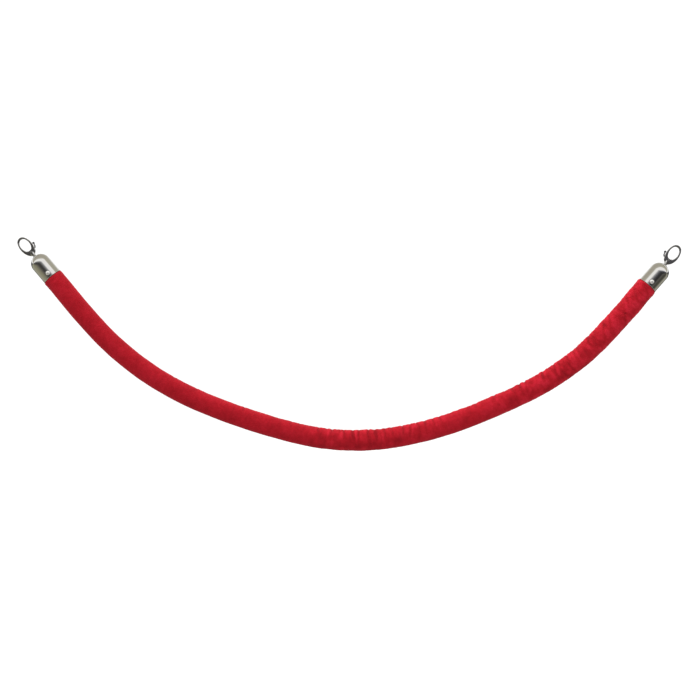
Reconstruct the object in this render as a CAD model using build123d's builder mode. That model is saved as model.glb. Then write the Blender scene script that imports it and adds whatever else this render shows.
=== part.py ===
"""Velvet barrier rope: a padded rope with two bullet end caps and swivelling snap hooks.

Millimetres, +Z up. The origin is the centre of the left hook's crown arc, where the hook hangs
from a post. +X points to the right hook, and the rope sags in the XZ plane.
"""
import os
from math import atan2, cos, degrees, hypot, pi, radians, sin, tan

from build123d import *

os.makedirs("parts", exist_ok=True)

# Rope
SLEEVE_RADIUS = 19.0
SLEEVE_BORE = 17.0
CORE_RADIUS = 16.0
CORE_BORE = 4.5
CORD_RADIUS = 4.0
FLANGE = 2.0  # gathered velvet that turns in under the cap rim
CORE_GAP = 0.4

# Centreline of the hanging rope, from the left cap's rim to the right cap's rim
ROUTE = [
    (55.9, -63.0),
    (73.0, -82.6),
    (109.4, -126.5),
    (170.6, -191.5),
    (240.7, -245.4),
    (318.8, -287.5),
    (400.8, -318.5),
    (484.9, -344.3),
    (570.9, -363.1),
    (660.1, -364.7),
    (747.4, -349.7),
    (831.6, -322.6),
    (911.8, -287.7),
    (991.1, -247.9),
    (1062.2, -195.4),
    (1122.2, -130.1),
    (1158.7, -85.3),
    (1175.7, -65.6),
]
CORNER_SHARE = 0.45  # part of the shorter run that each corner's arc takes

# End cap
CAP_RADIUS = 18.8
CAP_STRAIGHT = 33.0
CAP_WALL = 1.2
CAP_BORE = CAP_RADIUS - CAP_WALL
CAP_LIP = 0.45
CAP_LIP_HEIGHT = 1.2
CAP_LIP_ROUND = 0.42
DOME_HOLE = 3.6

# Velvet clamped between cap and plug
TAIL_RADIUS = CAP_BORE - 0.1
TAIL_BORE = TAIL_RADIUS - 1.3
TAIL_LENGTH = 22.0

# Cap screws, one in front and one behind
SCREW_HEIGHT = 8.6
SCREW_SEAT = CAP_RADIUS - 0.45
SCREW_SEAT_RADIUS = 4.4
SCREW_HEAD_RADIUS = 4.2
SCREW_HEAD_HEIGHT = 2.4
SCREW_SHANK = 1.55
SCREW_LENGTH = 9.0
SCREW_POINT = 2.0
SCREW_CROSS = (3.2, 0.6, 0.9)  # length, width and depth of the recess
SCREW_HOLE = 1.75
SCREW_PILOT = 1.6

# Plug and cord ferrule inside the cap
PLUG_RADIUS = TAIL_BORE - 0.2
PLUG_START = 1.0
PLUG_END = 30.0
PLUG_CHAMFER = 1.0
FERRULE_RADIUS = 6.0
FERRULE_BORE = 4.2
FERRULE_START = 19.6
FERRULE_LENGTH = 9.6
FERRULE_ROUND = 0.5
CRIMP_SHARES = (0.3, 0.7)  # where the two crimped grooves lie along the ferrule
CRIMP_WIDTH = 1.4
CRIMP_DEPTH = 0.6
COUNTERBORE_RADIUS = 6.6
COUNTERBORE_START = FERRULE_START - 0.4

# Seat washer under the dome
WASHER_OUTSIDE = CAP_BORE - 0.1
WASHER_THICKNESS = 1.0
WASHER_RADIUS = 9.0

# Ball stud
BALL_HEIGHT = 45.3  # ball centre above the cap's rim
BALL_RADIUS = 4.5
STUD_NECK = 2.0
COLLAR_START = 6.7
COLLAR_RADIUS = 3.0
COLLAR_ROUND = 1.2
COLLAR_GAP = 0.3
SWIVEL_SHANK = 1.8
SWIVEL_CLEARANCE = 0.06
HEAD_RADIUS = 2.6
HEAD_START = 1.7
HEAD_HEIGHT = 2.0
CAVITY_RADIUS = 2.85
CAVITY_START = 1.5
CAVITY_END = 4.0

# Snap hook, heights measured from the foot of its base
HOOK_THICKNESS = 5.0
BASE_THICKNESS = 7.0
OUTER_OVAL = (12.5, 20.5, 9.75, 20.5)  # half width, half length, end radius, centre height
INNER_OVAL = (9.0, 13.25, 7.5, 23.75)
CROWN_HEIGHT = 29.5  # centre of the crown's inner arc
BASE_WIDTH = 4.7
BASE_HEIGHT = 8.5
CHEEK_RADIUS = 3.4
EDGE_ROUND = 0.8
HOOK_OPENING = (88, 187)  # degrees about the pivot that the hook leaves open for the gate
FORK_SLOT = [(-13, 4.4), (3.2, 4.4), (13, 1), (13, 11), (4, 11), (2, 13), (-13, 13)]

# Gate lever and its pivot
PIVOT_HEIGHT = 7.0
GATE_REACH = 20.6  # radius of the joint between gate and hook tip
GATE_ROOT = 5.55  # radius where the gate widens to the full hook thickness
GATE_GAP = 0.15
GATE_SPAN = (95, 184)  # degrees about the pivot that the gate fills
ROOT_SPAN = (125, 184)  # and that its thinner root fills
ROOT_START = 0.5
GATE_THICKNESS = 4.6
LEVER_THICKNESS = 2.4
SLOT_THICKNESS = 2.7
HUB_RADIUS = 2.4
PIN_RADIUS = 0.8
PIN_CLEARANCE = 0.05
PIN_HEAD_RADIUS = 1.5
PIN_HEAD_HEIGHT = 0.5
PIN_HEAD_ROUND = 0.4
NUB_ARM = [(0, PIVOT_HEIGHT), (11.6, 9.1), (13.6, 12.0), (14.6, 16.6)]
NUB_ARM_WIDTH = 2.0
NUB_CENTRE = (14.7, 16.8)
NUB_RADIUS = 2.0
NUB_THICKNESS = 4.4

# Gate spring
SPRING_WIRE = 0.36
SPRING_RADIUS = 1.5
SPRING_PITCH = 0.45
SPRING_TURNS = 1.5
SPRING_POCKET = 2.15
SPRING_FLOOR = 0.1
SPRING_GAP = 0.05

RIGHT_HOOK_ANGLE = 54.5


def run_angle(start, end):
    """Return the direction of a run in degrees above +X."""
    return degrees(atan2(end[1] - start[1], end[0] - start[0]))


def corner_radii(points):
    """Return one arc radius per corner, each as large as its two runs allow."""
    radii = []
    for before, corner, after in zip(points, points[1:], points[2:]):
        shorter = min(hypot(*(corner[i] - before[i] for i in (0, 1))),
                      hypot(*(after[i] - corner[i] for i in (0, 1))))
        turn = radians(abs(run_angle(corner, after) - run_angle(before, corner)))
        radii.append(CORNER_SHARE * shorter / tan(turn / 2))
    return radii


def moved_end(end, neighbour, amount):
    """Move the end of a route by an amount towards its neighbour."""
    run = hypot(neighbour[0] - end[0], neighbour[1] - end[1])
    return tuple(end[i] + (neighbour[i] - end[i]) * amount / run for i in (0, 1))


def rope_path(shorten):
    """Return the points in space of the route with both ends shortened."""
    first = moved_end(ROUTE[0], ROUTE[1], shorten)
    last = moved_end(ROUTE[-1], ROUTE[-2], shorten)
    return [(x, 0, z) for x, z in [first, *ROUTE[1:-1], last]]


def axis_frame(side, foot, angle):
    """Return the plane at foot whose Z runs along an axis that leans out to one side."""
    along = (side * cos(radians(angle)), 0, sin(radians(angle)))
    inward = (-side * sin(radians(angle)), 0, cos(radians(angle)))
    return Plane(origin=foot, x_dir=inward, z_dir=along)


def profile_plane(side, frame):
    """Return the plane through a frame's axis: its X is the frame's X, its Y runs up the axis."""
    return Plane(origin=frame.origin, x_dir=frame.x_dir, z_dir=(0, side, 0))


def on_axis(frame, height):
    """Return the point at a height on a frame's axis."""
    return frame.origin + frame.z_dir * height


RADII = corner_radii(ROUTE)
print("rope corner radii, mm:", [round(radius) for radius in RADII])

SIDES = {"left": -1, "right": 1}
CAP_FRAMES = {
    "left": axis_frame(-1, (ROUTE[0][0], 0, ROUTE[0][1]), -run_angle(ROUTE[0], ROUTE[1])),
    "right": axis_frame(1, (ROUTE[-1][0], 0, ROUTE[-1][1]), run_angle(ROUTE[-2], ROUTE[-1])),
}
BALLS = {name: on_axis(frame, BALL_HEIGHT) for name, frame in CAP_FRAMES.items()}

# The left hook's axis runs from its ball to the origin, and both studs have its reach
LEFT_HOOK_ANGLE = degrees(atan2(-BALLS["left"].Z, BALLS["left"].X))
STUD_REACH = BALLS["left"].length - CROWN_HEIGHT
STUD_FRAMES = {
    "left": axis_frame(-1, BALLS["left"], LEFT_HOOK_ANGLE),
    "right": axis_frame(1, BALLS["right"], RIGHT_HOOK_ANGLE),
}
for name, frame in STUD_FRAMES.items():
    for label, height in (
        ("ball centre", 0),
        ("hook base", STUD_REACH),
        ("gate pivot", STUD_REACH + PIVOT_HEIGHT),
        ("crown centre", STUD_REACH + CROWN_HEIGHT),
    ):
        print(name, label, [round(value, 3) for value in on_axis(frame, height)])
    print(name, "hook axis", [round(value, 5) for value in frame.z_dir])
    print(name, "cap axis", [round(value, 5) for value in CAP_FRAMES[name].z_dir])


def save(part, name):
    """Label a finished piece and write it."""
    part.label = name
    export_step(part, f"parts/{name}.step")


def rope_tube(outer, bore, shorten):
    """Sweep a round section with an optional bore along the route, inside an open part."""
    points = rope_path(shorten)
    with BuildLine() as path:
        FilletPolyline(*points, radius=RADII)
    start = Vector(*points[0])
    with BuildSketch(Plane(origin=start, z_dir=Vector(*points[1]) - start)) as section:
        Circle(outer)
        if bore:
            Circle(bore, mode=Mode.SUBTRACT)
    sweep(section.sketch, path=path.wires()[0])
    return path.wires()[0].length


def ring_along(frame, outer, bore, start, end, mode=Mode.ADD):
    """Extrude a ring, or a disc where bore is 0, between two heights on an axis."""
    with BuildSketch(frame.offset(start)) as section:
        Circle(outer)
        if bore:
            Circle(bore, mode=Mode.SUBTRACT)
    extrude(section.sketch, amount=end - start, mode=mode)


def cross_holes(frame, radius):
    """Drill the two screw positions right through, front to back."""
    with BuildSketch(Plane(origin=on_axis(frame, SCREW_HEIGHT), z_dir=(0, 1, 0))) as hole:
        Circle(radius)
    extrude(hole.sketch, amount=CAP_RADIUS + CAP_WALL, both=True, mode=Mode.SUBTRACT)


def round_edges(part, radius):
    """Return a part's circular edges of one radius."""
    circles = part.edges().filter_by(GeomType.CIRCLE)
    return circles.filter_by(lambda edge: abs(edge.radius - radius) < 0.01)


def face_edges(part, thickness):
    """Return the edges in the two faces of a plate that lies across Y."""
    return part.edges().filter_by(lambda edge: abs(abs(edge.center().Y) - thickness / 2) < 0.01)


def bullet(side, frame, radius, mode=Mode.ADD):
    """Revolve a cylinder with a hemispherical end about a cap's axis."""
    with BuildSketch(profile_plane(side, frame)) as section:
        with BuildLine():
            Polyline((0, CAP_STRAIGHT + radius), (0, 0), (radius, 0), (radius, CAP_STRAIGHT))
            CenterArc((0, CAP_STRAIGHT), radius, 0, 90)
        make_face()
    revolve(section.sketch, axis=Axis(frame.origin, frame.z_dir), mode=mode)


def make_velvet_sleeve():
    """Velvet tube from rim to rim, turned in at each rim and clamped inside the caps."""
    with BuildPart() as sleeve:
        length = rope_tube(SLEEVE_RADIUS, SLEEVE_BORE, 0)
        section = pi * (SLEEVE_RADIUS ** 2 - SLEEVE_BORE ** 2)
        print("sleeve length", round(length, 1), "section x length", round(section * length),
              "volume", round(sleeve.part.volume))
        for frame in CAP_FRAMES.values():
            ring_along(frame, SLEEVE_RADIUS, TAIL_BORE, -FLANGE, 0)
            ring_along(frame, TAIL_RADIUS, TAIL_BORE, -FLANGE, TAIL_LENGTH)
            cross_holes(frame, SCREW_HOLE)
    save(sleeve.part, "velvet_sleeve")


def make_foam_core():
    """Foam rod with a bore for the tension cord."""
    with BuildPart() as core:
        rope_tube(CORE_RADIUS, CORE_BORE, FLANGE + CORE_GAP)
    save(core.part, "foam_core")


def make_tension_cord():
    """Braided cord that carries the pull from one cap's plug to the other's."""
    with BuildPart() as cord:
        rope_tube(CORD_RADIUS, 0, -(FERRULE_START + FERRULE_LENGTH))
    save(cord.part, "tension_cord")


def make_end_cap(name, side, frame):
    """Bullet shell with a beaded rim, a hole in the dome and two screw seats."""
    with BuildPart() as cap:
        bullet(side, frame, CAP_RADIUS)
        ring_along(frame, CAP_RADIUS + CAP_LIP, 0, 0, CAP_LIP_HEIGHT)
        fillet(round_edges(cap, CAP_RADIUS + CAP_LIP), CAP_LIP_ROUND)
        bullet(side, frame, CAP_BORE, mode=Mode.SUBTRACT)
        ring_along(frame, DOME_HOLE, 0, CAP_STRAIGHT, CAP_STRAIGHT + CAP_RADIUS + 1,
                   mode=Mode.SUBTRACT)
        cross_holes(frame, SCREW_HOLE)
        for facing in (-1, 1):
            seat = on_axis(frame, SCREW_HEIGHT) + Vector(0, facing * SCREW_SEAT, 0)
            with BuildSketch(Plane(origin=seat, z_dir=(0, facing, 0))):
                Circle(SCREW_SEAT_RADIUS)
            extrude(amount=CAP_WALL, mode=Mode.SUBTRACT)
    save(cap.part, f"{name}_end_cap")


def make_cap_screws(name, frame):
    """Two domed cross-head screws that hold the cap, the velvet and the plug together."""
    cross_length, cross_width, cross_depth = SCREW_CROSS
    ball = (SCREW_HEAD_RADIUS ** 2 + SCREW_HEAD_HEIGHT ** 2) / (2 * SCREW_HEAD_HEIGHT)
    rim_angle = degrees(atan2(ball - SCREW_HEAD_HEIGHT, SCREW_HEAD_RADIUS))
    with BuildPart() as screws:
        for facing in (-1, 1):
            seat = on_axis(frame, SCREW_HEIGHT) + Vector(0, facing * SCREW_SEAT, 0)
            section = Plane(origin=seat, x_dir=(1, 0, 0), z_dir=(0, 0, facing))
            with BuildSketch(section):
                with BuildLine():
                    Polyline((0, SCREW_HEAD_HEIGHT), (0, -SCREW_LENGTH),
                             (SCREW_SHANK, SCREW_POINT - SCREW_LENGTH), (SCREW_SHANK, 0),
                             (SCREW_HEAD_RADIUS, 0))
                    CenterArc((0, SCREW_HEAD_HEIGHT - ball), ball, rim_angle, 90 - rim_angle)
                make_face()
            revolve(axis=Axis(seat, (0, 1, 0)))
            with BuildSketch(Plane(origin=seat + Vector(0, facing * SCREW_HEAD_HEIGHT, 0),
                                   z_dir=(0, facing, 0))):
                Rectangle(cross_length, cross_width)
                Rectangle(cross_width, cross_length)
            extrude(amount=-cross_depth, mode=Mode.SUBTRACT)
    save(screws.part, f"{name}_cap_screws")


def make_end_plug(name, frame):
    """Turned wooden plug that fills the cap and anchors screws and cord."""
    with BuildPart() as plug:
        ring_along(frame, PLUG_RADIUS, CORE_BORE, PLUG_START, PLUG_END)
        chamfer(round_edges(plug, PLUG_RADIUS), PLUG_CHAMFER)
        ring_along(frame, COUNTERBORE_RADIUS, 0, COUNTERBORE_START, PLUG_END, mode=Mode.SUBTRACT)
        for facing in (-1, 1):
            mouth = on_axis(frame, SCREW_HEIGHT) + Vector(0, facing * CAP_RADIUS, 0)
            with BuildSketch(Plane(origin=mouth, z_dir=(0, -facing, 0))):
                Circle(SCREW_PILOT)
            extrude(amount=SCREW_LENGTH + 1, mode=Mode.SUBTRACT)
    save(plug.part, f"{name}_end_plug")


def make_cord_ferrule(name, frame):
    """Crimped sleeve that stops the cord from pulling back through the plug."""
    end = FERRULE_START + FERRULE_LENGTH
    with BuildPart() as ferrule:
        ring_along(frame, FERRULE_RADIUS, FERRULE_BORE, FERRULE_START, end)
        fillet(round_edges(ferrule, FERRULE_RADIUS), FERRULE_ROUND)
        for share in CRIMP_SHARES:
            foot = FERRULE_START + FERRULE_LENGTH * share - CRIMP_WIDTH / 2
            ring_along(frame, FERRULE_RADIUS + 1, FERRULE_RADIUS - CRIMP_DEPTH, foot,
                       foot + CRIMP_WIDTH, mode=Mode.SUBTRACT)
    save(ferrule.part, f"{name}_cord_ferrule")


def make_seat_washer(name, frame):
    """Dished washer under the dome, which the ball pulls against."""
    with BuildPart(frame) as washer:
        with Locations((0, 0, CAP_STRAIGHT)):
            Sphere(WASHER_OUTSIDE)
            Sphere(WASHER_OUTSIDE - WASHER_THICKNESS, mode=Mode.SUBTRACT)
            Cylinder(WASHER_RADIUS, 2 * CAP_RADIUS, mode=Mode.INTERSECT,
                     align=(Align.CENTER, Align.CENTER, Align.MIN))
            Cylinder(DOME_HOLE, 2 * CAP_RADIUS, mode=Mode.SUBTRACT,
                     align=(Align.CENTER, Align.CENTER, Align.MIN))
    save(washer.part, f"{name}_seat_washer")


def make_ball_stud(name, side, frame):
    """Ball, neck, collar and captured head of the swivel, turned in one piece."""
    collar_end = STUD_REACH - COLLAR_GAP
    with BuildPart() as stud:
        with BuildSketch(profile_plane(side, frame)):
            Circle(BALL_RADIUS)
            Rectangle(STUD_NECK, COLLAR_START + 1, align=(Align.MIN, Align.MIN))
            with Locations((0, COLLAR_START)):
                RectangleRounded(2 * COLLAR_RADIUS, collar_end - COLLAR_START, COLLAR_ROUND,
                                 align=(Align.CENTER, Align.MIN))
            with Locations((0, collar_end - 1)):
                Rectangle(SWIVEL_SHANK, COLLAR_GAP + HEAD_START + 2, align=(Align.MIN, Align.MIN))
            with Locations((0, STUD_REACH + HEAD_START)):
                Rectangle(HEAD_RADIUS, HEAD_HEIGHT, align=(Align.MIN, Align.MIN))
            Rectangle(2 * STUD_REACH, 4 * STUD_REACH, align=(Align.MAX, Align.CENTER),
                      mode=Mode.SUBTRACT)
        revolve(axis=Axis(frame.origin, frame.z_dir))
    save(stud.part, f"{name}_ball_stud")


def oval(half_width, half_length, end_radius, centre, mode=Mode.ADD):
    """Draw a four-centred oval whose length runs along the sketch's Y."""
    reach = half_length - end_radius
    side_radius = (half_width ** 2 + half_length ** 2 - 2 * half_length * end_radius) / (
        2 * (half_width - end_radius))
    shift = side_radius - half_width
    joint = degrees(atan2(reach, shift))
    with BuildLine() as outline:
        CenterArc((0, centre + reach), end_radius, joint, 180 - 2 * joint)
        CenterArc((shift, centre), side_radius, 180 - joint, 2 * joint)
        CenterArc((0, centre - reach), end_radius, 180 + joint, 180 - 2 * joint)
        CenterArc((-shift, centre), side_radius, -joint, 2 * joint)
    make_face(outline.edges(), mode=mode)


def gate_sector(inner, outer, start, end, mode=Mode.ADD):
    """Draw the ring sector about the pivot that the gate lies in, with angles in degrees."""
    far = 2 * outer
    corners = [(far * cos(radians(angle)), PIVOT_HEIGHT + far * sin(radians(angle)))
               for angle in (start, (start + end) / 2, end)]
    with BuildSketch(mode=Mode.PRIVATE) as sector:
        with Locations((0, PIVOT_HEIGHT)):
            Circle(outer)
            Circle(inner, mode=Mode.SUBTRACT)
        with BuildLine():
            Polyline((0, PIVOT_HEIGHT), *corners, close=True)
        make_face(mode=Mode.INTERSECT)
    add(sector.sketch, mode=mode)


def make_hook_body(name, side, frame):
    """Oval hook with a thicker forked base, open where the gate lies."""
    plane = profile_plane(side, frame)
    with BuildPart() as hook:
        with BuildSketch(plane):
            oval(*OUTER_OVAL)
            oval(*INNER_OVAL, mode=Mode.SUBTRACT)
        extrude(amount=HOOK_THICKNESS / 2, both=True)
        fillet(face_edges(hook, HOOK_THICKNESS), EDGE_ROUND)
        with BuildSketch(frame):
            Ellipse(BASE_WIDTH, BASE_THICKNESS / 2)
        extrude(amount=BASE_HEIGHT)
        with BuildSketch(plane):
            with Locations((0, PIVOT_HEIGHT)):
                Circle(CHEEK_RADIUS)
        extrude(amount=BASE_THICKNESS / 2, both=True)
        with BuildSketch(plane):
            gate_sector(GATE_ROOT - GATE_GAP, GATE_REACH + GATE_GAP, *HOOK_OPENING)
        extrude(amount=BASE_THICKNESS, both=True, mode=Mode.SUBTRACT)
        with BuildSketch(plane):
            with BuildLine():
                Polyline(*FORK_SLOT, close=True)
            make_face()
        extrude(amount=SLOT_THICKNESS / 2, both=True, mode=Mode.SUBTRACT)
        with BuildSketch(plane):
            with Locations((0, PIVOT_HEIGHT)):
                Circle(PIN_RADIUS)
        extrude(amount=BASE_THICKNESS, both=True, mode=Mode.SUBTRACT)
        ring_along(frame, SWIVEL_SHANK + SWIVEL_CLEARANCE, 0, -1, CAVITY_END, mode=Mode.SUBTRACT)
        ring_along(frame, CAVITY_RADIUS, 0, CAVITY_START, CAVITY_END, mode=Mode.SUBTRACT)
    save(hook.part, f"{name}_hook_body")


def make_gate_lever(name, side, frame):
    """Gate, hub and thumb nub in one stamping that turns on the pin."""
    plane = profile_plane(side, frame)
    with BuildPart() as lever:
        with BuildSketch(plane):
            oval(*OUTER_OVAL)
            oval(*INNER_OVAL, mode=Mode.SUBTRACT)
        extrude(amount=GATE_THICKNESS / 2, both=True)
        fillet(face_edges(lever, GATE_THICKNESS), EDGE_ROUND)
        with BuildSketch(plane):
            gate_sector(GATE_ROOT + GATE_GAP, GATE_REACH - GATE_GAP, *GATE_SPAN)
        extrude(amount=GATE_THICKNESS, both=True, mode=Mode.INTERSECT)
        with BuildSketch(plane):
            gate_sector(ROOT_START, GATE_ROOT + 1, *ROOT_SPAN)
            with Locations((0, PIVOT_HEIGHT)):
                Circle(HUB_RADIUS)
            with BuildLine():
                Polyline(*NUB_ARM)
            trace(line_width=NUB_ARM_WIDTH)
        extrude(amount=LEVER_THICKNESS / 2, both=True)
        with BuildSketch(plane):
            with Locations(NUB_CENTRE):
                Circle(NUB_RADIUS)
        extrude(amount=NUB_THICKNESS / 2, both=True)
        with BuildSketch(plane):
            with Locations((0, PIVOT_HEIGHT)):
                Circle(PIN_RADIUS + PIN_CLEARANCE)
        extrude(amount=BASE_THICKNESS, both=True, mode=Mode.SUBTRACT)
        with BuildSketch(plane.offset(SPRING_FLOOR)):
            with Locations((0, PIVOT_HEIGHT)):
                Circle(SPRING_POCKET)
        extrude(amount=LEVER_THICKNESS, mode=Mode.SUBTRACT)
    save(lever.part, f"{name}_gate_lever")


def make_gate_pin(name, side, frame):
    """Rivet with a low head on each face of the base."""
    plane = profile_plane(side, frame)
    with BuildPart() as pin:
        with BuildSketch(plane):
            with Locations((0, PIVOT_HEIGHT)):
                Circle(PIN_RADIUS)
        extrude(amount=BASE_THICKNESS / 2, both=True)
        for face in (-1, 1):
            with BuildSketch(plane.offset(face * BASE_THICKNESS / 2)):
                with Locations((0, PIVOT_HEIGHT)):
                    Circle(PIN_HEAD_RADIUS)
            extrude(amount=face * PIN_HEAD_HEIGHT)
        fillet(face_edges(pin, BASE_THICKNESS + 2 * PIN_HEAD_HEIGHT), PIN_HEAD_ROUND)
    save(pin.part, f"{name}_gate_pin")


def make_gate_spring(name, side, frame):
    """Small coil about the pin, in the lever's pocket."""
    plane = profile_plane(side, frame)
    centre = on_axis(frame, PIVOT_HEIGHT) + plane.z_dir * (SPRING_FLOOR + SPRING_WIRE / 2 + SPRING_GAP)
    with BuildPart() as spring:
        with BuildLine() as coil:
            Helix(pitch=SPRING_PITCH, height=SPRING_PITCH * SPRING_TURNS, radius=SPRING_RADIUS,
                  center=centre, direction=plane.z_dir)
        with BuildSketch(Plane(origin=coil.line @ 0, z_dir=coil.line % 0)):
            Rectangle(SPRING_WIRE, SPRING_WIRE)
        sweep(path=coil.wires()[0], is_frenet=True)
    save(spring.part, f"{name}_gate_spring")


make_velvet_sleeve()
make_foam_core()
make_tension_cord()
for side_name, side_sign in SIDES.items():
    cap_frame = CAP_FRAMES[side_name]
    stud_frame = STUD_FRAMES[side_name]
    hook_frame = stud_frame.offset(STUD_REACH)
    make_end_cap(side_name, side_sign, cap_frame)
    make_cap_screws(side_name, cap_frame)
    make_end_plug(side_name, cap_frame)
    make_cord_ferrule(side_name, cap_frame)
    make_seat_washer(side_name, cap_frame)
    make_ball_stud(side_name, side_sign, stud_frame)
    make_hook_body(side_name, side_sign, hook_frame)
    make_gate_lever(side_name, side_sign, hook_frame)
    make_gate_pin(side_name, side_sign, hook_frame)
    make_gate_spring(side_name, side_sign, hook_frame)
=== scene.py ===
"""Looks for the velvet barrier rope: wrinkled velvet, polished caps and hooks, white studio."""
import math

import bpy
import numpy as np
from mathutils import Matrix, Vector


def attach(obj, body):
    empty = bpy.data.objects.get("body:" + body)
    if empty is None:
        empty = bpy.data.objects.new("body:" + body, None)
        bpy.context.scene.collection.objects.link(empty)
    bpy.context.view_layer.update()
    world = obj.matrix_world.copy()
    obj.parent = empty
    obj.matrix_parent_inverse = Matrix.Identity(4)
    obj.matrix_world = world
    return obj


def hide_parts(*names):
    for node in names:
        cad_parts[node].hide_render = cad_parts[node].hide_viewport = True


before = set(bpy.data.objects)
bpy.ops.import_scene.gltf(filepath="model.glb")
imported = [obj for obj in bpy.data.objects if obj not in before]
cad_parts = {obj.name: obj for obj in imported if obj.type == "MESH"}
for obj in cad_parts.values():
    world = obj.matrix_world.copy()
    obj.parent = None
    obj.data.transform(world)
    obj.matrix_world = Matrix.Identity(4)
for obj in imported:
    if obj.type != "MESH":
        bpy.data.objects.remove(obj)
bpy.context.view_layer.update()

# ---------------------------------------------------------------- sizes, metres
ROPE_RADIUS = 0.019
# The route's control points, as in part.py. They weren't chosen by hand: a script fitted them to the
# photo's rope, and offsets measured against the photo then shifted them.
ROUTE = [
    (0.0559, -0.0630),
    (0.0730, -0.0826),
    (0.1094, -0.1265),
    (0.1706, -0.1915),
    (0.2407, -0.2454),
    (0.3188, -0.2875),
    (0.4008, -0.3185),
    (0.4849, -0.3443),
    (0.5709, -0.3631),
    (0.6601, -0.3647),
    (0.7474, -0.3497),
    (0.8316, -0.3226),
    (0.9118, -0.2877),
    (0.9911, -0.2479),
    (1.0622, -0.1954),
    (1.1222, -0.1301),
    (1.1587, -0.0853),
    (1.1757, -0.0656),
]
FRONT = np.array([0.0, -1.0, 0.0])
CAMERA_PLACE = (0.6176, -3.112, -0.1938)
CAMERA_LENS = 85  # millimetres, on a 36 mm sensor
CAMERA_ROLL = 0.70  # degrees


# ---------------------------------------------------------------- camera
def make_camera():
    """Frontal view from 3.1 m, rolled a little as the rope hangs in the picture."""
    data = bpy.data.cameras.new("camera")
    data.lens = CAMERA_LENS
    data.sensor_width = 36
    camera = bpy.data.objects.new("camera", data)
    bpy.context.collection.objects.link(camera)
    roll = Matrix.Rotation(math.radians(CAMERA_ROLL), 4, "Z")
    look = Matrix.Rotation(math.radians(90), 4, "X")
    camera.matrix_world = Matrix.Translation(CAMERA_PLACE) @ look @ roll
    bpy.context.scene.camera = camera


# ---------------------------------------------------------------- rope route
def route_points():
    """Read evenly spaced points along the route's NURBS curve."""
    data = bpy.data.curves.new("rope_route", "CURVE")
    data.dimensions = "3D"
    data.resolution_u = 64
    spline = data.splines.new("NURBS")
    spline.points.add(len(ROUTE) - 1)
    for point, (x, z) in zip(spline.points, ROUTE):
        point.co = (x, 0, z, 1)
    spline.order_u = 3
    spline.use_endpoint_u = True
    curve = bpy.data.objects.new("rope_route", data)
    bpy.context.collection.objects.link(curve)
    bpy.context.view_layer.update()
    mesh = bpy.data.meshes.new_from_object(curve)
    raw = np.array([vertex.co[:] for vertex in mesh.vertices])
    bpy.data.objects.remove(curve)
    bpy.data.meshes.remove(mesh)
    return raw


def resample(points, count):
    """Return count points evenly spaced along a polyline, and how far along it each lies."""
    steps = np.linalg.norm(np.diff(points, axis=0), axis=1)
    along = np.concatenate([[0], np.cumsum(steps)])
    wanted = np.linspace(0, along[-1], count)
    return np.stack([np.interp(wanted, along, points[:, k]) for k in range(3)], axis=1), wanted


def smooth_noise(rng, rows, columns, along, around):
    """Noise on the unrolled sleeve, periodic round it, with a feature size in cells each way."""
    field = rng.standard_normal((rows, columns))
    fr = np.fft.fftfreq(rows)[:, None] * along
    fc = np.fft.fftfreq(columns)[None, :] * around
    field = np.fft.ifft2(np.fft.fft2(field) * np.exp(-2 * (fr ** 2 + fc ** 2))).real
    return field / field.std()


# ---------------------------------------------------------------- velvet
COLUMNS = 144
ROWS = 1320
FOAM_LIMIT = 0.0166  # the cloth can't go further in than this
PUFF_LIMIT = 0.0212  # or bulge further out
SLEEVE_SHARES = [0, 0.86, 0.93, 1]  # places along the rope, as shares of its length
SLEEVE_RADII = [0.0195, 0.0195, 0.0200, 0.0202]  # the smooth sleeve's radius there
TUCK_LENGTH = 0.0030  # the sleeve draws in over its last stretch
TUCK_RADIUS = 0.0172  # to this, inside the cap
TUCK_DEPTHS = (0.0015, 0.0045)  # and goes on into the cap
CREASE_GAIN = 0.72  # on every crease's depth
CREASE_SPREAD = 1.10  # on every crease's width
CREASE_WANDER = 0.0010  # how far a crease strays from its straight path
SHOULDER_HEIGHT = 0.42  # of a crease's depth
SHOULDER_PLACE = 2.1  # from the valley, in crease widths
SHOULDER_WIDTH = 1.2
MINOR_CREASES = 300
MINOR_DEPTH = 0.00075
STEEP_END = 1.15  # beyond here minor creases slant more
FOLD_RANGE = 0.0016  # height from the darkest painted-shade valley to the lightest painted-highlight puff
CRUSH = 0.13  # how much crushed nap changes the shade of bunched cloth

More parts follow.
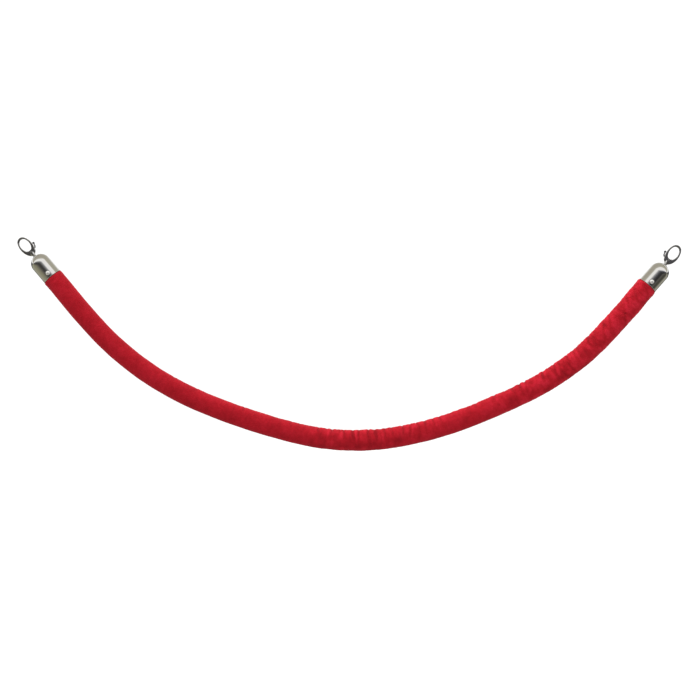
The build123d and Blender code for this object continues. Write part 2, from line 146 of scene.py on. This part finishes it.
# Creases seen from the front: distance along the rope, where round it the crease is deepest
# (degrees from the inside of the sag towards the viewer), half its extent round the rope,
# slant (distance along per distance round), depth and width. About twenty of the distances along were
# worked out from pixel positions of notches in the photo. The other columns were chosen.
CREASES = [
    (0.304, 10, 55, 0.10, 0.0006, 0.0022),
    (0.352, 5, 60, -0.05, 0.0006, 0.0024),
    (0.452, 15, 60, 0.08, 0.0007, 0.0022),
    (0.545, 10, 70, 0.05, 0.0007, 0.0022),
    (0.599, 15, 80, 0.12, 0.0008, 0.0022),
    (0.627, 12, 80, -0.04, 0.0010, 0.0022),
    (0.649, 20, 90, 0.10, 0.0012, 0.0021),
    (0.668, 28, 100, 0.02, 0.0015, 0.0022),
    (0.679, 35, 75, -0.08, 0.0011, 0.0018),
    (0.696, 22, 100, 0.06, 0.0015, 0.0021),
    (0.709, 30, 85, 0.14, 0.0012, 0.0018),
    (0.728, 18, 95, -0.05, 0.0014, 0.0021),
    (0.741, 25, 80, 0.10, 0.0011, 0.0018),
    (0.762, 15, 85, 0.04, 0.0012, 0.0020),
    (0.777, 25, 90, -0.10, 0.0013, 0.0020),
    (0.792, 20, 85, 0.08, 0.0012, 0.0020),
    (0.808, 22, 85, -0.10, 0.0012, 0.0019),
    (0.823, 18, 80, 0.10, 0.0011, 0.0019),
    (0.838, 12, 75, 0.12, 0.0010, 0.0022),
    (0.875, 15, 70, 0.06, 0.0008, 0.0022),
    (0.911, 15, 70, -0.14, 0.0009, 0.0022),
    (0.948, 12, 75, -0.14, 0.0010, 0.0022),
    (1.004, 15, 80, -0.22, 0.0013, 0.0021),
    (1.015, 28, 70, -0.16, 0.0011, 0.0018),
    (1.052, 24, 80, -0.36, 0.0015, 0.0022),
    (1.078, 18, 65, -0.30, 0.0011, 0.0020),
    (1.089, 32, 60, -0.34, 0.0010, 0.0018),
    (1.109, 18, 75, -0.28, 0.0012, 0.0021),
    (1.126, 30, 65, -0.36, 0.0010, 0.0018),
    (1.136, 14, 55, -0.20, 0.0008, 0.0018),
    (1.165, 22, 80, -0.45, 0.0013, 0.0024),
    (1.198, 60, 60, -0.75, 0.0008, 0.0024),
    (1.218, 45, 60, -0.65, 0.0009, 0.0022),
    (1.244, 95, 55, -0.80, 0.0008, 0.0026),
    (1.268, 50, 60, -0.75, 0.0009, 0.0026),
    (1.284, 80, 55, -0.70, 0.0008, 0.0024),
    (1.300, 110, 50, -0.60, 0.0007, 0.0024),
]


def slack(share):
    """How bunched the velvet is along the rope, from 0, smooth, to 1."""
    places = [0.0, 0.02, 0.06, 0.30, 0.42, 0.47, 0.56, 0.62, 0.70, 0.75, 0.88, 0.92, 1.0]
    amounts = [0.5, 0.15, 0.10, 0.14, 0.35, 0.85, 0.95, 0.45, 0.40, 0.95, 1.0, 0.85, 0.95]
    return np.interp(share, places, amounts)


def squeeze(share, degrees):
    """How far the sag gathers the cloth at an angle round the rope: less on the stretched outside."""
    outside = 0.5 - 0.5 * np.cos(np.radians(degrees))
    return 1 - np.interp(share, [0.0, 0.15, 0.88, 0.95], [0.0, 0.65, 0.60, 0.10]) * outside


def wrap(angle):
    """Bring angles in degrees to within half a turn of 0."""
    return (angle + 180) % 360 - 180


def crease_depth(along, degrees, crease, wander):
    """How far one crease moves the cloth out: a sharp valley between two soft shoulders."""
    place, middle, extent, slant, depth, width = crease
    turn = wrap(degrees - middle)
    fade = np.clip(1 - (turn / extent) ** 2, 0, 1) ** 1.5
    path = place + slant * np.radians(turn) * ROPE_RADIUS + CREASE_WANDER * wander
    offset = np.abs(along - path) / (CREASE_SPREAD * width)
    valley = np.exp(-offset ** 2)
    shoulder = SHOULDER_HEIGHT * np.exp(-((offset - SHOULDER_PLACE) / SHOULDER_WIDTH) ** 2)
    return CREASE_GAIN * depth * fade * (shoulder - valley)


def small_creases(rng, length):
    """Draw the many minor creases, more of them where the cloth is slack and inside the sag."""
    drawn = []
    while len(drawn) < MINOR_CREASES:
        place = rng.uniform(0, length)
        bunch = slack(place / length)
        if rng.uniform() > bunch:
            continue
        middle = rng.normal(0, 75) if rng.uniform() < 0.7 else rng.uniform(-180, 180)
        slant = rng.normal(0, 0.25 + 0.5 * (place > STEEP_END))
        depth = MINOR_DEPTH * bunch * squeeze(place / length, middle) * rng.uniform(0.4, 1.0)
        drawn.append((place, middle, rng.uniform(22, 62), slant, depth, rng.uniform(0.0015, 0.0026)))
    return drawn


def velvet_radius(along):
    """Radius of the sleeve over its rows and columns: bunched cloth over round foam."""
    rng = np.random.default_rng(11)
    length = along[-1]
    degrees = np.arange(COLUMNS) * 360 / COLUMNS
    bunch = slack(along / length)[:, None] * squeeze(along[:, None] / length, degrees[None, :])
    broad = smooth_noise(rng, ROWS, COLUMNS, 26, 24)
    ripple = smooth_noise(rng, ROWS, COLUMNS, 3.4, 16)
    wander = smooth_noise(rng, ROWS, COLUMNS, 26, 26)
    full = np.interp(along / length, SLEEVE_SHARES, SLEEVE_RADII)[:, None]
    radius = full + broad * (0.00010 + 0.00022 * bunch) + ripple * (0.00003 + 0.00014 * bunch)
    for crease in CREASES + small_creases(rng, length):
        near = np.abs(along - crease[0]) < 0.05
        radius[near] += crease_depth(along[near, None], degrees[None, :], crease, wander[near])
    return np.clip(radius, FOAM_LIMIT, PUFF_LIMIT)


def blur(field, rows, columns):
    """Smooth a field on the unrolled sleeve; it wraps round the columns."""
    margin = rows * 4
    spread = np.concatenate([field[margin:0:-1], field, field[-2:-margin - 2:-1]])
    fr = np.fft.fftfreq(len(spread))[:, None] * rows * 2 * math.pi
    fc = np.fft.fftfreq(spread.shape[1])[None, :] * columns * 2 * math.pi
    soft = np.fft.ifft2(np.fft.fft2(spread) * np.exp(-0.5 * (fr ** 2 + fc ** 2))).real
    return soft[margin:margin + len(field)]


def fold_shade(radius, along):
    """How light the cloth is, from 0 to 1: painted shade in crease valleys, painted highlight on puffs,
    painted light that is darker towards the left end and lighter towards the right end, and crushed
    nap.
    """
    # painted shade where the cloth dips below its surroundings, painted highlight where it rises above
    # them
    local = blur(radius, 1, 1) - blur(radius, 7, 7)
    crushed = smooth_noise(np.random.default_rng(12), ROWS, COLUMNS, 13, 15)
    share = along / along[-1]
    # painted light and shade along the rope: darker towards the left end, lighter towards the right end
    painted_light_along_rope = np.interp(share, [0.0, 0.08, 0.55, 0.75, 1.0], [-0.07, -0.11, -0.07, 0.05, 0.12])
    # the painted light along the rope plus crushed nap, which varies at random
    nap = painted_light_along_rope[:, None] + CRUSH * slack(share)[:, None] * crushed
    return np.clip(0.5 + local / FOLD_RANGE + nap, 0, 1)


def tuck(radius, along):
    """Draw the sleeve in over its last stretch, so that it comes out from under the cap's rim."""
    to_end = np.minimum(along, along[-1] - along)
    drawn = np.clip(1 - to_end / TUCK_LENGTH, 0, 1)[:, None] ** 3
    return radius + drawn * (TUCK_RADIUS - radius)


def tucked_rows(cloth, centre, tangent):
    """Carry both ends of the cloth a little way into the caps."""
    rows = [cloth]
    for end, way in ((0, -1), (-1, 1)):
        spoke = cloth[end] - centre[end]
        spoke /= np.linalg.norm(spoke, axis=1, keepdims=True)
        inside = [centre[end] + way * depth * tangent[end] + spoke * TUCK_RADIUS
                  for depth in TUCK_DEPTHS]
        rows = inside[::-1] + rows if end == 0 else rows + inside
    return np.concatenate([row.reshape(-1, COLUMNS, 3) for row in rows])


def velvet_mesh(cloth, name):
    """Make the sleeve's quads."""
    rows = len(cloth)
    index = np.arange(rows * COLUMNS).reshape(rows, COLUMNS)
    after = np.roll(index, -1, axis=1)
    faces = np.stack([index[:-1], after[:-1], after[1:], index[1:]], axis=-1).reshape(-1, 4)
    mesh = bpy.data.meshes.new(name)
    mesh.from_pydata(cloth.reshape(-1, 3).tolist(), [], faces.tolist())
    mesh.polygons.foreach_set("use_smooth", [True] * len(mesh.polygons))
    mesh.update()
    piece = bpy.data.objects.new(name, mesh)
    bpy.context.collection.objects.link(piece)
    return piece


def make_velvet():
    centre, along = resample(route_points(), ROWS)
    tangent = np.gradient(centre, axis=0)
    tangent /= np.linalg.norm(tangent, axis=1, keepdims=True)
    inner = np.cross(FRONT, tangent)
    inner *= np.sign(inner[:, 2:3])
    angle = np.arange(COLUMNS) * 2 * math.pi / COLUMNS
    out = (np.cos(angle)[None, :, None] * inner[:, None, :]
           + np.sin(angle)[None, :, None] * FRONT[None, None, :])
    radius = velvet_radius(along)
    cloth = centre[:, None, :] + out * tuck(radius, along)[:, :, None]
    piece = velvet_mesh(tucked_rows(cloth, centre, tangent), "velvet_cover")
    # painted shade and highlight of the folds, painted light along the rope and crushed nap, kept per
    # point for the velvet's colour
    painted_shade_and_nap = piece.data.attributes.new("painted_shade_and_nap", "FLOAT", "POINT")
    added = len(TUCK_DEPTHS)
    shade = np.pad(fold_shade(radius, along), ((added, added), (0, 0)), "edge")
    painted_shade_and_nap.data.foreach_set("value", shade.ravel())
    piece.data.materials.append(velvet_material())
    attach(piece, "rope")
    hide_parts("velvet_sleeve")


# ---------------------------------------------------------------- materials
def new_material(name):
    """Return a node material, its shader and its node tree."""
    material = bpy.data.materials.new(name)
    material.use_nodes = True
    tree = material.node_tree
    shader = tree.nodes["Principled BSDF"]
    return material, tree, shader


def noise_node(tree, scale, detail, source, roughness=0.6):
    """Add a noise texture read in object coordinates."""
    node = tree.nodes.new("ShaderNodeTexNoise")
    node.inputs["Scale"].default_value = scale
    node.inputs["Detail"].default_value = detail
    node.inputs["Roughness"].default_value = roughness
    tree.links.new(source, node.inputs["Vector"])
    return node


def ramp_node(tree, source, stops):
    """Add a colour ramp with (position, colour) stops."""
    node = tree.nodes.new("ShaderNodeValToRGB")
    tree.links.new(source, node.inputs["Fac"])
    elements = node.color_ramp.elements
    while len(elements) < len(stops):
        elements.new(0.5)
    for element, (position, colour) in zip(elements, stops):
        element.position = position
        element.color = (*colour, 1)
    return node


def multiply_node(tree, first, second):
    """Multiply two colours."""
    node = tree.nodes.new("ShaderNodeMix")
    node.data_type = "RGBA"
    node.blend_type = "MULTIPLY"
    node.inputs["Factor"].default_value = 1
    tree.links.new(first, node.inputs["A"])
    tree.links.new(second, node.inputs["B"])
    return node


def math_node(tree, operation, first, second):
    """Combine two values, each a socket or a number."""
    node = tree.nodes.new("ShaderNodeMath")
    node.operation = operation
    for socket, value in zip(node.inputs, (first, second)):
        if isinstance(value, (int, float)):
            socket.default_value = value
        else:
            tree.links.new(value, socket)
    return node.outputs[0]


def range_node(tree, source, span=(0, 1), result=(0, 1)):
    """Map a value's span to another one."""
    node = tree.nodes.new("ShaderNodeMapRange")
    node.inputs["From Min"].default_value = span[0]
    node.inputs["From Max"].default_value = span[1]
    node.inputs["To Min"].default_value = result[0]
    node.inputs["To Max"].default_value = result[1]
    tree.links.new(source, node.inputs["Value"])
    return node.outputs["Result"]


def velvet_material():
    """Red cut-pile velvet: mottled nap in crushed patches, painted shade in the crease valleys and
    painted pinkish highlight on the puffs, soft sheen, fine pile grain.
    """
    material, tree, shader = new_material("velvet_pile")
    coords = tree.nodes.new("ShaderNodeTexCoord").outputs["Object"]
    nap = noise_node(tree, 170, 5, coords, 0.72)
    colour = ramp_node(tree, nap.outputs["Fac"], [
        (0.30, (0.325, 0.0050, 0.0115)),
        (0.50, (0.365, 0.0062, 0.0138)),
        (0.70, (0.400, 0.0085, 0.0175)),
    ])
    painted_shade_and_nap = tree.nodes.new("ShaderNodeAttribute")
    painted_shade_and_nap.attribute_name = "painted_shade_and_nap"
    # painted shade: darker in the crease valleys; painted highlight: lighter and pinker on the puffs
    depth = ramp_node(tree, painted_shade_and_nap.outputs["Fac"], [
        (0.05, (0.68, 0.62, 0.64)),
        (0.42, (0.93, 0.92, 0.92)),
        (0.54, (1.0, 1.0, 1.0)),
        (0.80, (1.22, 1.60, 1.60)),
    ])
    crushed = noise_node(tree, 34, 3, coords, 0.65)
    patches = ramp_node(tree, crushed.outputs["Fac"], [
        (0.36, (0.91, 0.86, 0.89)),
        (0.50, (1.0, 1.0, 1.0)),
        (0.64, (1.07, 1.22, 1.22)),
    ])
    tone = multiply_node(tree, colour.outputs["Color"], depth.outputs["Color"])
    tone = multiply_node(tree, tone.outputs["Result"], patches.outputs["Color"])
    pile = noise_node(tree, 1500, 3, coords, 0.7)
    grain = ramp_node(tree, pile.outputs["Fac"], [
        (0.36, (0.80, 0.74, 0.76)),
        (0.50, (1.0, 1.0, 1.0)),
        (0.64, (1.18, 1.34, 1.32)),
    ])
    tone = multiply_node(tree, tone.outputs["Result"], grain.outputs["Color"])
    tree.links.new(tone.outputs["Result"], shader.inputs["Base Color"])
    shader.inputs["Roughness"].default_value = 0.9
    shader.inputs["Specular IOR Level"].default_value = 0.1
    shader.inputs["Sheen Weight"].default_value = 0.25
    shader.inputs["Sheen Roughness"].default_value = 0.35
    shader.inputs["Sheen Tint"].default_value = (1.0, 0.27, 0.32, 1)
    patch = noise_node(tree, 160, 3, coords)
    mix = tree.nodes.new("ShaderNodeMath")
    mix.operation = "MULTIPLY_ADD"
    mix.inputs[1].default_value = 0.45
    tree.links.new(pile.outputs["Fac"], mix.inputs[0])
    tree.links.new(patch.outputs["Fac"], mix.inputs[2])
    bump = tree.nodes.new("ShaderNodeBump")
    bump.inputs["Strength"].default_value = 0.22
    bump.inputs["Distance"].default_value = 0.0006
    tree.links.new(mix.outputs[0], bump.inputs["Height"])
    tree.links.new(bump.outputs["Normal"], shader.inputs["Normal"])
    return material


def chrome_material(name, colour, roughness, metallic=1.0):
    """Polished metal with faint waviness and handling marks."""
    material, tree, shader = new_material(name)
    coords = tree.nodes.new("ShaderNodeTexCoord").outputs["Object"]
    shader.inputs["Metallic"].default_value = metallic
    haze = noise_node(tree, 220, 5, coords)
    tone = ramp_node(tree, haze.outputs["Fac"], [
        (0.3, tuple(0.94 * c for c in colour)), (0.7, colour)])
    tree.links.new(tone.outputs["Color"], shader.inputs["Base Color"])
    gloss = range_node(tree, haze.outputs["Fac"], result=(roughness * 0.7, roughness * 1.6))
    tree.links.new(gloss, shader.inputs["Roughness"])
    wave = noise_node(tree, 60, 1, coords)
    bump = tree.nodes.new("ShaderNodeBump")
    bump.inputs["Strength"].default_value = 0.15
    bump.inputs["Distance"].default_value = 0.0003
    tree.links.new(wave.outputs["Fac"], bump.inputs["Height"])
    tree.links.new(bump.outputs["Normal"], shader.inputs["Normal"])
    return material


def plain_material(name, dark, light, roughness, scale):
    """Mottled dull material for the hidden pieces."""
    material, tree, shader = new_material(name)
    coords = tree.nodes.new("ShaderNodeTexCoord").outputs["Object"]
    grain = noise_node(tree, scale, 4, coords)
    colour = ramp_node(tree, grain.outputs["Fac"], [(0.35, dark), (0.65, light)])
    tree.links.new(colour.outputs["Color"], shader.inputs["Base Color"])
    shader.inputs["Roughness"].default_value = roughness
    return material


def paint_nodes():
    """Give every carried-over CAD node its material."""
    chrome = chrome_material("polished_chrome", (0.80, 0.79, 0.77), 0.07)
    bright = chrome_material("bright_nickel", (0.88, 0.87, 0.85), 0.10)
    satin = chrome_material("satin_screw", (0.98, 0.97, 0.95), 0.32, 0.68)
    steel = chrome_material("zinc_steel", (0.60, 0.60, 0.60), 0.30)
    ferrule = chrome_material("crimped_aluminium", (0.75, 0.75, 0.76), 0.25)
    wood = plain_material("turned_beech", (0.42, 0.25, 0.12), (0.58, 0.38, 0.20), 0.6, 90)
    foam = plain_material("cream_foam", (0.72, 0.68, 0.52), (0.85, 0.82, 0.68), 0.95, 400)
    cord = plain_material("braided_cord", (0.62, 0.60, 0.54), (0.85, 0.83, 0.78), 0.9, 700)
    kinds = {
        "foam_core": foam,
        "tension_cord": cord,
        "end_cap": chrome,
        "cap_screws": satin,
        "end_plug": wood,
        "cord_ferrule": ferrule,
        "seat_washer": steel,
        "ball_stud": bright,
        "hook_body": chrome,
        "gate_lever": chrome,
        "gate_pin": bright,
        "gate_spring": steel,
    }
    for name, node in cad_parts.items():
        for kind, material in kinds.items():
            if name.endswith(kind):
                node.data.materials.clear()
                node.data.materials.append(material)


# ---------------------------------------------------------------- studio
STAGE_MIDDLE = (0.615, 0, -0.2)
FLOOR_LEVEL = -0.95
FLOOR_REACH = 30
TENT_RADIUS = 5
TENT_HALF_LENGTH = 6
TENT_SEAM = 1.5  # either side of the middle, over which the left bands turn into the right ones


def stage_sheet(name, corners, material):
    """Add a flat staged sheet."""
    mesh = bpy.data.meshes.new(name)
    mesh.from_pydata(corners, [], [tuple(range(len(corners)))])
    sheet = bpy.data.objects.new(name, mesh)
    sheet.data.materials.append(material)
    bpy.context.collection.objects.link(sheet)
    return sheet


def make_tent():
    """Add the tent that polished metal reflects: bands that run round the rope's long axis."""
    count = 96
    x, y, z = STAGE_MIDDLE
    turns = np.linspace(0, 2 * math.pi, count, endpoint=False)
    rings = [[(side, y - TENT_RADIUS * math.cos(t), z + TENT_RADIUS * math.sin(t)) for t in turns]
             for side in (x - TENT_HALF_LENGTH, x + TENT_HALF_LENGTH)]
    sides = [(i, (i + 1) % count, (i + 1) % count + count, i + count) for i in range(count)]
    ends = [tuple(range(count)), tuple(range(count, 2 * count))]
    mesh = bpy.data.meshes.new("tent")
    mesh.from_pydata(rings[0] + rings[1], [], sides + ends)
    mesh.materials.append(tent_cloth())
    tent = bpy.data.objects.new("tent", mesh)
    bpy.context.collection.objects.link(tent)
    tent.visible_camera = False
    tent.visible_diffuse = False
    tent.visible_shadow = False
    tent.visible_transmission = False


def tent_cloth():
    """Glowing cloth with the two ends' bands, blended into each other between the ends."""
    material = bpy.data.materials.new("tent_cloth")
    material.use_nodes = True
    tree = material.node_tree
    tree.nodes.clear()
    split = tree.nodes.new("ShaderNodeSeparateXYZ")
    tree.links.new(tree.nodes.new("ShaderNodeTexCoord").outputs["Object"], split.inputs[0])
    level = math_node(tree, "SUBTRACT", split.outputs["Z"], STAGE_MIDDLE[2])
    front = math_node(tree, "MULTIPLY", split.outputs["Y"], -1)
    angle = math_node(tree, "ARCTAN2", level, front)
    share = range_node(tree, angle, (-math.pi, math.pi))
    seam = (STAGE_MIDDLE[0] - TENT_SEAM, STAGE_MIDDLE[0] + TENT_SEAM)
    across = range_node(tree, split.outputs["X"], seam)
    blend = tree.nodes.new("ShaderNodeMix")
    blend.data_type = "RGBA"
    tree.links.new(across, blend.inputs["Factor"])
    for bands, socket in ((TENT_LEFT, "A"), (TENT_RIGHT, "B")):
        ramp = ramp_node(tree, share, [(degrees / 360 + 0.5, tone) for degrees, tone in bands])
        tree.links.new(ramp.outputs["Color"], blend.inputs[socket])
    glow = tree.nodes.new("ShaderNodeEmission")
    tree.links.new(blend.outputs["Result"], glow.inputs["Color"])
    finish = tree.nodes.new("ShaderNodeOutputMaterial")
    tree.links.new(glow.outputs[0], finish.inputs["Surface"])
    return material


# Degrees above the camera's side of the tent, and the cloth's tone there, at its left and right
TENT_LEFT = [
    (-180, (0.05, 0.05, 0.05)),
    (-150, (0.38, 0.38, 0.30)),
    (-104, (0.35, 0.34, 0.25)),
    (-74, (0.30, 0.29, 0.20)),
    (-45, (0.27, 0.26, 0.18)),
    (-24, (0.165, 0.155, 0.125)),
    (-8, (0.055, 0.052, 0.050)),
    (5, (0.060, 0.058, 0.057)),
    (14, (0.18, 0.18, 0.18)),
    (23, (0.38, 0.38, 0.38)),
    (31, (1.0, 1.0, 0.98)),
    (50, (1.0, 1.0, 0.98)),
    (59, (0.58, 0.56, 0.49)),
    (69, (0.45, 0.43, 0.36)),
    (105, (0.42, 0.39, 0.32)),
    (138, (0.52, 0.50, 0.43)),
    (145, (1.0, 1.0, 1.0)),
    (166, (1.0, 1.0, 1.0)),
    (172, (0.05, 0.05, 0.05)),
    (180, (0.05, 0.05, 0.05)),
]
TENT_RIGHT = [
    (-180, (0.04, 0.04, 0.04)),
    (-137, (0.41, 0.40, 0.33)),
    (-104, (0.27, 0.26, 0.21)),
    (-80, (0.085, 0.082, 0.062)),
    (-46, (0.065, 0.062, 0.050)),
    (-27, (0.115, 0.110, 0.098)),
    (-12, (0.032, 0.032, 0.032)),
    (1, (0.045, 0.045, 0.047)),
    (11, (0.12, 0.12, 0.135)),
    (19, (0.30, 0.31, 0.33)),
    (28, (0.96, 0.94, 0.95)),
    (59, (1.0, 0.99, 0.97)),
    (66, (0.60, 0.57, 0.50)),
    (72, (0.46, 0.44, 0.36)),
    (105, (0.44, 0.42, 0.34)),
    (138, (0.54, 0.52, 0.46)),
    (145, (1.0, 1.0, 1.0)),
    (166, (1.0, 1.0, 1.0)),
    (172, (0.04, 0.04, 0.04)),
    (180, (0.04, 0.04, 0.04)),
]

# Light from below comes from the sky's dim lower half, because the floor isn't asked for any
SKY_SHADES = [
    (0.0, (0.70, 0.68, 0.68)),
    (0.40, (0.76, 0.74, 0.74)),
    (0.47, (1.0, 1.0, 1.0)),
    (1.0, (1.0, 1.0, 1.0)),
]


def area_light(name, place, target, size, power):
    """Add a square softbox that faces a point and isn't mirrored."""
    data = bpy.data.lights.new(name, "AREA")
    data.size = size
    data.energy = power
    light = bpy.data.objects.new(name, data)
    light.location = place
    light.rotation_euler = (Vector(target) - Vector(place)).to_track_quat("-Z", "Y").to_euler()
    light.visible_glossy = False
    bpy.context.collection.objects.link(light)


def make_studio():
    """White surroundings, pale floor, soft light and a tent for the metal to reflect."""
    scene = bpy.context.scene
    scene.view_settings.view_transform = "Standard"
    world = bpy.data.worlds.new("studio")
    scene.world = world
    world.use_nodes = True
    sky = world.node_tree
    upward = sky.nodes.new("ShaderNodeSeparateXYZ")
    sky.links.new(sky.nodes.new("ShaderNodeTexCoord").outputs["Generated"], upward.inputs[0])
    shade = ramp_node(sky, range_node(sky, upward.outputs["Z"], (-1, 1)), SKY_SHADES)
    sky.links.new(shade.outputs["Color"], sky.nodes["Background"].inputs["Color"])
    sky.nodes["Background"].inputs["Strength"].default_value = 1.1
    paper, tree, shader = new_material("pale_paper")
    coords = tree.nodes.new("ShaderNodeTexCoord").outputs["Object"]
    fibre = noise_node(tree, 4, 3, coords)
    tone = ramp_node(tree, fibre.outputs["Fac"], [(0.3, (0.96, 0.96, 0.96)), (0.7, (0.98, 0.98, 0.98))])
    tree.links.new(tone.outputs["Color"], shader.inputs["Base Color"])
    shader.inputs["Roughness"].default_value = 0.9
    shader.inputs["Specular IOR Level"].default_value = 0.1
    corners = [(x * FLOOR_REACH, y * FLOOR_REACH, FLOOR_LEVEL)
               for x, y in ((-1, -1), (1, -1), (1, 1), (-1, 1))]
    floor = stage_sheet("floor", corners, paper)
    floor.visible_glossy = False
    floor.visible_diffuse = False
    make_tent()
    area_light("key", (-0.5, -1.4, 2.0), STAGE_MIDDLE, 1.5, 8)
    area_light("top", (-1.6, 1.0, 4.4), (-1.6, 1.0, -1), 6, 340)


make_camera()
make_studio()
make_velvet()
paint_nodes()
